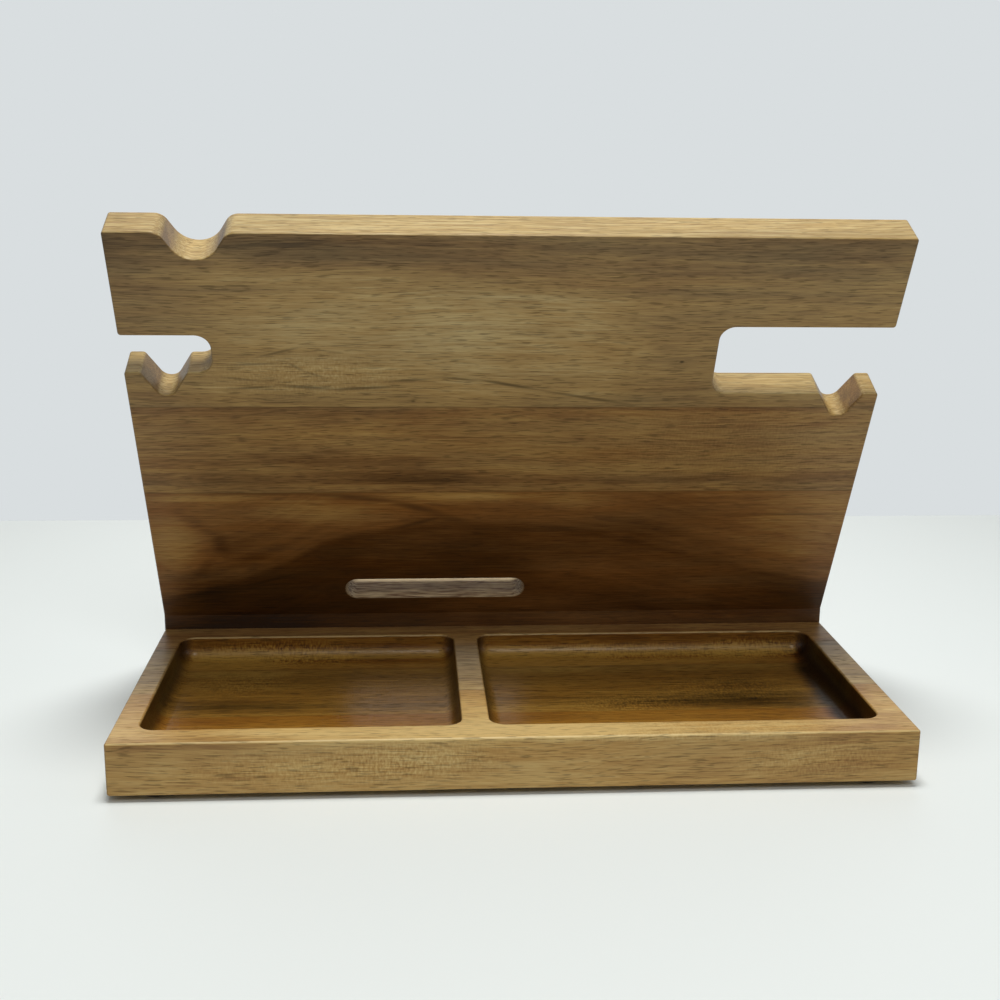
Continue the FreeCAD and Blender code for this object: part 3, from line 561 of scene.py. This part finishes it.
def acacia(stave, finish, place, turn):
    """Oiled acacia, sawn, sanded and wiped with oil.

    Growth bands in brown and russet under dense fine vessel lines, with a satin sheen.
    """
    material, tree = new_material("oiled_acacia_" + stave.name)
    where = node(tree, "ShaderNodeTexCoord").outputs["Object"]
    panel = node(tree, "ShaderNodeMapping", {"vector_type": "TEXTURE"},
                 {"Vector": where, "Location": place, "Rotation": (turn, 0.0, 0.0),
                  "Scale": (MM, MM, MM)})
    grain, log = grain_positions(tree, panel, stave)
    shade = wood_shade(tree, panel, grain, log, stave, finish)
    hue = wood_hue(tree, grain, shade, stave, finish)

    normal = node(tree, "ShaderNodeNewGeometry").outputs["Normal"]
    gloss = finish.roughness
    oil_pool_and_shade = 0.0
    if stave in BOARD_STAVES:
        # Cut edges, sanded after the faces, took less oil and are paler and more golden. Part of
        # that paleness is painted light on the edges.
        upward = node(tree, VECTOR_MATH, {"operation": "DOT_PRODUCT"},
                      {0: normal, 1: (0.0, -math.sin(turn), math.cos(turn))}).outputs["Value"]
        edge = node(tree, "ShaderNodeMapRange", {"interpolation_type": "SMOOTHSTEP"},
                    {"Value": node(tree, MATH, {"operation": "ABSOLUTE"}, {0: upward}),
                     "From Min": 0.5, "From Max": 0.8, "To Max": 0.55})
        pale = node(tree, "ShaderNodeValToRGB", None,
                    {"Fac": grain_pattern(tree, grain, EDGE_LINES, stave)},
                    ((0.36, finish.fawn), (0.47, finish.edge), (0.62, finish.edge_bright)))
        hue = node(tree, "ShaderNodeMix", {"data_type": "RGBA"},
                   {"Factor": edge, "A": hue, "B": pale}).outputs["Result"]
    else:
        # Corners that face up and forward get a painted highlight.
        corner = node(tree, VECTOR_MATH, {"operation": "DOT_PRODUCT"},
                      {0: normal, 1: (0.0, -math.sqrt(0.5), math.sqrt(0.5))}).outputs["Value"]
        painted_corner_highlight = node(tree, "ShaderNodeMapRange", {"interpolation_type": "SMOOTHSTEP"},
                      {"Value": corner, "From Min": 0.85, "From Max": 0.98, "To Max": 0.5})
        hue = node(tree, "ShaderNodeMix", {"data_type": "RGBA"},
                   {"Factor": painted_corner_highlight, "A": hue, "B": opaque(finish.edge_bright)}).outputs["Result"]
        # Oil pooled in the trays, which are darker, more amber and glossier.
        oil_pool_and_shade = inside(tree, panel, TRAYS, 0.6)
        hue = node(tree, "ShaderNodeMix", {"data_type": "RGBA", "blend_type": "MULTIPLY"},
                   {"Factor": oil_pool_and_shade, "A": hue, "B": opaque(finish.oil)}).outputs["Result"]
        gloss = node(tree, "ShaderNodeMapRange", None,
                     {"Value": oil_pool_and_shade, "To Min": finish.roughness, "To Max": 0.8 * finish.roughness})
    if stave.name == "board_lower_stave":
        # The cable slot was cut after the oiling, so its inside is raw and greyer, with saw lines.
        # Towards the back it turns paler with painted light from behind the board.
        depth = node(tree, "ShaderNodeSeparateXYZ", None, {0: panel}).outputs["Y"]
        painted_back_light = node(tree, "ShaderNodeMapRange", {"interpolation_type": "SMOOTHSTEP"},
                   {"Value": depth, "From Min": 9.8, "From Max": 11.0, "To Max": 0.4})
        sawn = grain_pattern(tree, panel, SAW_LINES, stave)
        raw = node(tree, "ShaderNodeValToRGB", None,
                   {"Fac": node(tree, MATH, {"operation": "ADD"}, {0: sawn, 1: painted_back_light})},
                   ((0.35, finish.russet), (0.5, finish.raw), (0.8, finish.raw_bright)))
        hue = node(tree, "ShaderNodeMix", {"data_type": "RGBA"},
                   {"Factor": inside(tree, panel, CABLE_SLOT, 0.3), "A": hue, "B": raw}
                   ).outputs["Result"]

    # Vessel lines, glue lines and marks, each as how much of the colour it takes away.
    vessels = Pattern((finish.pore_length / MM, VESSEL_WIDTH, VESSEL_WIDTH), 28.0, 1.0)
    pore = node(tree, "ShaderNodeMapRange", {"interpolation_type": "SMOOTHSTEP"},
                {"Value": grain_pattern(tree, grain, vessels, stave),
                 "From Min": 0.54, "From Max": 0.68})
    vessel_darkness = 0.06 + 0.62 * stave.streaks
    dark = node(tree, MATH, {"operation": "MULTIPLY"}, {0: pore, 1: vessel_darkness})
    axes = node(tree, "ShaderNodeSeparateXYZ", None, {0: panel}).outputs
    for axis, level in stave.joints:
        gap = node(tree, MATH, {"operation": "SUBTRACT"}, {0: axes[axis], 1: level})
        seam = node(tree, "ShaderNodeMapRange", None,
                    {"Value": node(tree, MATH, {"operation": "ABSOLUTE"}, {0: gap}),
                     "From Min": GLUE_HALF_WIDTH, "From Max": GLUE_FADED,
                     "To Min": GLUE_DARKNESS, "To Max": 0.0})
        dark = node(tree, MATH, {"operation": "MAXIMUM"}, {0: dark, 1: seam})
    for mark in stave.marks:
        drawn = node(tree, MATH, {"operation": "MULTIPLY"},
                     {0: nearness(tree, panel, mark), 1: mark.change})
        dark = node(tree, MATH, {"operation": "MAXIMUM"}, {0: dark, 1: drawn})
    # Ends soak up more oil and turn darker. Inside the trays the end walls are darker still,
    # mostly with painted shade.
    end = node(tree, "ShaderNodeMapRange", {"interpolation_type": "SMOOTHSTEP"},
               {"Value": node(tree, MATH, {"operation": "ABSOLUTE"},
                              {0: node(tree, "ShaderNodeSeparateXYZ", None, {0: normal})}),
                "From Min": 0.1, "From Max": 0.9})
    soaked_and_shaded = node(tree, "ShaderNodeMapRange", None,
                  {"Value": oil_pool_and_shade, "To Min": END_DARKNESS, "To Max": TRAY_END_DARKNESS_AND_SHADE})
    soaked_and_shaded = node(tree, MATH, {"operation": "MULTIPLY"}, {0: end, 1: soaked_and_shaded})
    dark = node(tree, MATH, {"operation": "MAXIMUM"}, {0: dark, 1: soaked_and_shaded})
    keep = node(tree, MATH, {"operation": "SUBTRACT"}, {0: 1.0, 1: dark})
    colour = node(tree, VECTOR_MATH, {"operation": "SCALE"}, {0: hue, "Scale": keep})

    # Vessel lines are more matt than the wood between them. Sanding left fine relief along the
    # grain, and the router left faint chatter in the trays.
    gloss = node(tree, MATH, {"operation": "MULTIPLY_ADD"}, {0: pore, 1: 0.2, 2: gloss})
    height = grain_pattern(tree, panel, SANDING, stave)
    if stave in BASE_STAVES:
        chatter = node(tree, MATH, {"operation": "MULTIPLY"},
                       {0: oil_pool_and_shade, 1: grain_pattern(tree, panel, RIPPLES, stave)})
        height = node(tree, MATH, {"operation": "MULTIPLY_ADD"}, {0: chatter, 1: 1.2, 2: height})
    bump = node(tree, "ShaderNodeBump", None,
                {"Height": height, "Strength": 0.3, "Distance": 0.12 * MM})
    shader = node(tree, "ShaderNodeBsdfPrincipled", None,
                  {"Base Color": colour, "Roughness": gloss, "IOR": 1.5,
                   "Specular IOR Level": 0.25, "Normal": bump})
    node(tree, "ShaderNodeOutputMaterial", None, {"Surface": shader})
    return material


class ORGANISER_OT_base(bpy.types.Operator):
    """Dress the staves of the tray in oiled acacia"""
    bl_idname = "organiser.base"
    bl_label = "Tray Base"

    def execute(self, context):
        finish = context.scene.organiser_wood
        for stave in BASE_STAVES:
            dress(stave.name, acacia(stave, finish, (0.0, 0.0, 0.0), 0.0))
        return {"FINISHED"}


class ORGANISER_OT_board(bpy.types.Operator):
    """Dress the staves of the leaning board in oiled acacia"""
    bl_idname = "organiser.board"
    bl_label = "Leaning Board"

    def execute(self, context):
        finish = context.scene.organiser_wood
        for stave in BOARD_STAVES:
            dress(stave.name, acacia(stave, finish, BOARD_FOOT, BOARD_LEAN))
        return {"FINISHED"}


# ---- rubber feet and steel screws ----------------------------------------------------------
def moulded_rubber(colour, dust):
    """Black rubber, moulded: matt and slightly dusty, with a fine grain."""
    material, tree = new_material("moulded_black_rubber")
    where = node(tree, "ShaderNodeTexCoord").outputs["Object"]
    cloud = node(tree, "ShaderNodeTexNoise", None,
                 {"Vector": where, "Scale": 1 / (3.0 * MM), "Detail": 4.0})
    settled = node(tree, "ShaderNodeMapRange", None, {"Value": cloud, "To Max": 0.5})
    tint = node(tree, "ShaderNodeMix", {"data_type": "RGBA"},
                {"Factor": settled, "A": opaque(colour), "B": opaque(dust)})
    grain = node(tree, "ShaderNodeTexNoise", None,
                 {"Vector": where, "Scale": 1 / (0.4 * MM), "Detail": 1.0})
    bump = node(tree, "ShaderNodeBump", None,
                {"Height": grain, "Strength": 0.4, "Distance": 0.04 * MM})
    shader = node(tree, "ShaderNodeBsdfPrincipled", None,
                  {"Base Color": tint.outputs["Result"], "Roughness": 0.7, "IOR": 1.5,
                   "Normal": bump})
    node(tree, "ShaderNodeOutputMaterial", None, {"Surface": shader})
    return material


def foot_grid():
    """Geometry nodes for a grid of round feet whose lower edge is rounded."""
    tree = bpy.data.node_groups.new("rubber_feet", "GeometryNodeTree")
    sockets = (("Diameter", "NodeSocketFloat"), ("Height", "NodeSocketFloat"),
               ("Edge Radius", "NodeSocketFloat"), ("Spacing X", "NodeSocketFloat"),
               ("Spacing Y", "NodeSocketFloat"), ("Per Row", "NodeSocketInt"),
               ("Segments", "NodeSocketInt"), ("Material", "NodeSocketMaterial"))
    for name, kind in sockets:
        tree.interface.new_socket(name, in_out="INPUT", socket_type=kind)
    tree.interface.new_socket("Geometry", in_out="OUTPUT", socket_type="NodeSocketGeometry")
    given = node(tree, "NodeGroupInput").outputs

    side_rings = 12
    radius = node(tree, MATH, {"operation": "MULTIPLY"}, {0: given["Diameter"], 1: 0.5})
    pad = node(tree, "GeometryNodeMeshCylinder", {"fill_type": "NGON"},
               {"Vertices": given["Segments"], "Side Segments": side_rings, "Radius": radius,
                "Depth": given["Height"]})
    middle = node(tree, MATH, {"operation": "MULTIPLY"}, {0: given["Height"], 1: 0.5})
    upward = node(tree, "ShaderNodeCombineXYZ", None, {"Z": middle})
    pad = node(tree, "GeometryNodeTransform", None, {"Geometry": pad, "Translation": upward})
    # Below the edge radius the side follows a quarter circle, so the ring of points draws in.
    place = node(tree, "GeometryNodeInputPosition")
    height = node(tree, "ShaderNodeSeparateXYZ", None, {0: place}).outputs["Z"]
    drop = node(tree, "ShaderNodeMapRange", None,
                {"Value": height, "From Min": given["Edge Radius"], "From Max": 0.0})
    square = node(tree, MATH, {"operation": "MULTIPLY"}, {0: drop, 1: drop})
    cosine = node(tree, MATH, {"operation": "SQRT"},
                  {0: node(tree, MATH, {"operation": "SUBTRACT"}, {0: 1.0, 1: square})})
    inset = node(tree, MATH, {"operation": "SUBTRACT"}, {0: 1.0, 1: cosine})
    share = node(tree, MATH, {"operation": "DIVIDE"}, {0: given["Edge Radius"], 1: radius})
    scale = node(tree, MATH, {"operation": "SUBTRACT"},
                 {0: 1.0, 1: node(tree, MATH, {"operation": "MULTIPLY"}, {0: inset, 1: share})})
    rounded = node(tree, VECTOR_MATH, {"operation": "MULTIPLY"},
                   {0: place, 1: node(tree, "ShaderNodeCombineXYZ", None,
                                      {"X": scale, "Y": scale, "Z": 1.0})})
    pad = node(tree, "GeometryNodeSetPosition", None, {"Geometry": pad, "Position": rounded})

    grid = node(tree, "GeometryNodeMeshGrid", None,
                {"Size X": given["Spacing X"], "Size Y": given["Spacing Y"],
                 "Vertices X": given["Per Row"], "Vertices Y": given["Per Row"]})
    placed = node(tree, "GeometryNodeInstanceOnPoints", None, {"Points": grid, "Instance": pad})
    real = node(tree, "GeometryNodeRealizeInstances", None, {"Geometry": placed})
    dressed = node(tree, "GeometryNodeSetMaterial", None,
                   {"Geometry": real, "Material": given["Material"]})
    node(tree, "NodeGroupOutput", None, {0: dressed})
    return tree


def grown_mesh(context, tree, name, values):
    """The plain mesh that geometry nodes make for the given inputs."""
    grower = bpy.data.objects.new(name, bpy.data.meshes.new(name + "_start"))
    context.scene.collection.objects.link(grower)
    modifier = grower.modifiers.new(name, "NODES")
    modifier.node_group = tree
    for item in tree.interface.items_tree:
        if item.in_out == "INPUT":
            modifier[item.identifier] = values[item.name]
    shape = grower.evaluated_get(context.evaluated_depsgraph_get())
    mesh = bpy.data.meshes.new_from_object(shape)
    mesh.name = name
    grower.modifiers.clear()
    grower.data = mesh
    return grower


class ORGANISER_OT_feet(bpy.types.Operator):
    """Make the rubber feet under the tray"""
    bl_idname = "organiser.feet"
    bl_label = "Rubber Feet"

    def execute(self, context):
        feet = context.scene.organiser_feet
        pads = grown_mesh(context, foot_grid(), "rubber_feet", {
            "Diameter": feet.diameter, "Height": feet.height, "Edge Radius": feet.edge_radius,
            "Spacing X": FEET_SPAN.x, "Spacing Y": FEET_SPAN.y, "Per Row": FEET_PER_ROW,
            "Segments": feet.segments, "Material": moulded_rubber(feet.colour, feet.dust)})
        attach(pads, ROOT)
        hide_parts(*FEET)
        return {"FINISHED"}


def zinc_plated_steel(dull, bright):
    """Zinc-plated steel, turned and rolled: bright grey with soft blotches in the plating."""
    material, tree = new_material("zinc_plated_steel")
    where = node(tree, "ShaderNodeTexCoord").outputs["Object"]
    blotch = node(tree, "ShaderNodeTexNoise", None,
                  {"Vector": where, "Scale": 1 / (1.2 * MM), "Detail": 3.0})
    tint = node(tree, "ShaderNodeMix", {"data_type": "RGBA"},
                {"Factor": blotch, "A": opaque(dull), "B": opaque(bright)})
    gloss = node(tree, "ShaderNodeMapRange", None,
                 {"Value": blotch, "To Min": 0.28, "To Max": 0.45})
    shader = node(tree, "ShaderNodeBsdfPrincipled", None,
                  {"Base Color": tint.outputs["Result"], "Metallic": 1.0, "Roughness": gloss})
    node(tree, "ShaderNodeOutputMaterial", None, {"Surface": shader})
    return material


class ORGANISER_OT_screws(bpy.types.Operator):
    """Dress the assembly screws in zinc-plated steel"""
    bl_idname = "organiser.screws"
    bl_label = "Assembly Screws"

    def execute(self, context):
        screws = context.scene.organiser_screws
        steel = zinc_plated_steel(screws.dull, screws.bright)
        for name in SCREWS:
            dress(name, steel)
        return {"FINISHED"}


# ---- stage ---------------------------------------------------------------------------------
class ORGANISER_OT_stage(bpy.types.Operator):
    """Lay the floor, light it and set up the camera"""
    bl_idname = "organiser.stage"
    bl_label = "Stage"

    def execute(self, context):
        scene = context.scene
        stage = scene.organiser_stage
        self.floor(scene, stage)
        self.lamps(scene, stage)
        self.background(scene, stage)
        self.camera(scene, stage)
        scene.view_settings.view_transform = "Standard"
        return {"FINISHED"}

    def floor(self, scene, stage):
        """A plain sheet that ends behind the object, where the background begins."""
        side = 0.6
        back = 0.345
        mesh = bpy.data.meshes.new("floor")
        corners = [(-side, -side, 0.0), (side, -side, 0.0), (side, back, 0.0), (-side, back, 0.0)]
        mesh.from_pydata(corners, [], [(0, 1, 2, 3)])
        material, tree = new_material("painted_tabletop")
        shader = node(tree, "ShaderNodeBsdfPrincipled", None,
                      {"Base Color": opaque(stage.floor_colour), "Roughness": 0.6})
        node(tree, "ShaderNodeOutputMaterial", None, {"Surface": shader.outputs[0]})
        mesh.materials.append(material)
        floor = bpy.data.objects.new("floor", mesh)
        scene.collection.objects.link(floor)

    def lamps(self, scene, stage):
        """A soft lamp overhead, with weaker ones in front, to the right and behind."""
        # Name, place, diameter and share of the lamp power.
        lamps = (("lamp_overhead", (0.0, -0.12, 1.2), 0.4, 1.0),
                 ("lamp_front", (0.1, -0.85, 0.95), 0.4, 0.27),
                 ("lamp_right", (1.0, -0.2, 0.6), 0.5, 0.04),
                 ("lamp_back", (0.0, 0.5, 0.5), 0.9, 0.12))
        for name, place, size, share in lamps:
            light = bpy.data.lights.new(name, "AREA")
            light.shape = "DISK"
            light.size = size
            light.energy = stage.lamp_power * share
            lamp = bpy.data.objects.new(name, light)
            lamp.location = place
            lamp.rotation_euler = (-Vector(place)).to_track_quat("-Z", "Y").to_euler()
            lamp.visible_camera = False
            scene.collection.objects.link(lamp)

    def background(self, scene, stage):
        """Even room light, and a plain pale background for the camera and for reflections."""
        world = bpy.data.worlds.new("pale_room")
        world.use_nodes = True
        tree = world.node_tree
        tree.nodes.clear()
        path = node(tree, "ShaderNodeLightPath")
        seen = node(tree, MATH, {"operation": "MAXIMUM"},
                    {0: path.outputs["Is Camera Ray"], 1: path.outputs["Is Glossy Ray"]})
        seen = node(tree, MATH, {"operation": "MAXIMUM"},
                    {0: seen, 1: path.outputs["Is Transmission Ray"]})
        room = node(tree, "ShaderNodeBackground", None,
                    {"Color": (1.0, 1.0, 1.0, 1.0), "Strength": stage.room_light})
        wall = node(tree, "ShaderNodeBackground", None,
                    {"Color": opaque(stage.wall_colour), "Strength": 1.0})
        mix = node(tree, "ShaderNodeMixShader", None,
                   {0: seen, 1: room.outputs[0], 2: wall.outputs[0]})
        node(tree, "ShaderNodeOutputWorld", None, {"Surface": mix.outputs[0]})
        scene.world = world

    def camera(self, scene, stage):
        """The camera stands in front, a little to the left and above."""
        data = bpy.data.cameras.new("camera")
        data.lens = stage.lens
        data.sensor_width = SENSOR_WIDTH
        camera = bpy.data.objects.new("camera", data)
        look = Euler((math.radians(90.0 - CAMERA_DIP), 0.0, math.radians(CAMERA_TURN)))
        roll = Matrix.Rotation(math.radians(CAMERA_ROLL), 4, "Z")
        camera.matrix_world = Matrix.Translation(CAMERA_PLACE) @ look.to_matrix().to_4x4() @ roll
        scene.collection.objects.link(camera)
        scene.camera = camera


# ---- panel and registration ----------------------------------------------------------------
OPERATORS = (ORGANISER_OT_stage, ORGANISER_OT_base, ORGANISER_OT_board, ORGANISER_OT_feet,
             ORGANISER_OT_screws)
GROUPS = {"organiser_wood": OrganiserWood, "organiser_feet": OrganiserFeet,
          "organiser_screws": OrganiserScrews, "organiser_stage": OrganiserStage}


class ORGANISER_PT_panel(bpy.types.Panel):
    """Buttons and settings of the organiser"""
    bl_idname = "ORGANISER_PT_panel"
    bl_label = "Bedside Organiser"
    bl_space_type = "VIEW_3D"
    bl_region_type = "UI"
    bl_category = "Organiser"

    def draw(self, context):
        layout = self.layout
        for operator in OPERATORS:
            layout.operator(operator.bl_idname)
        for attribute, group in GROUPS.items():
            box = layout.box()
            settings = getattr(context.scene, attribute)
            for name in group.__annotations__:
                box.prop(settings, name)


def register():
    for group in GROUPS.values():
        bpy.utils.register_class(group)
    for attribute, group in GROUPS.items():
        setattr(bpy.types.Scene, attribute, PointerProperty(type=group))
    for operator in OPERATORS:
        bpy.utils.register_class(operator)
    bpy.utils.register_class(ORGANISER_PT_panel)


def unregister():
    bpy.utils.unregister_class(ORGANISER_PT_panel)
    for operator in reversed(OPERATORS):
        bpy.utils.unregister_class(operator)
    for attribute, group in reversed(GROUPS.items()):
        delattr(bpy.types.Scene, attribute)
        bpy.utils.unregister_class(group)


def main():
    """Register the add-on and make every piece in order."""
    register()
    bpy.ops.organiser.stage()
    bpy.ops.organiser.base()
    bpy.ops.organiser.board()
    bpy.ops.organiser.feet()
    bpy.ops.organiser.screws()


if __name__ == "__main__":
    main()
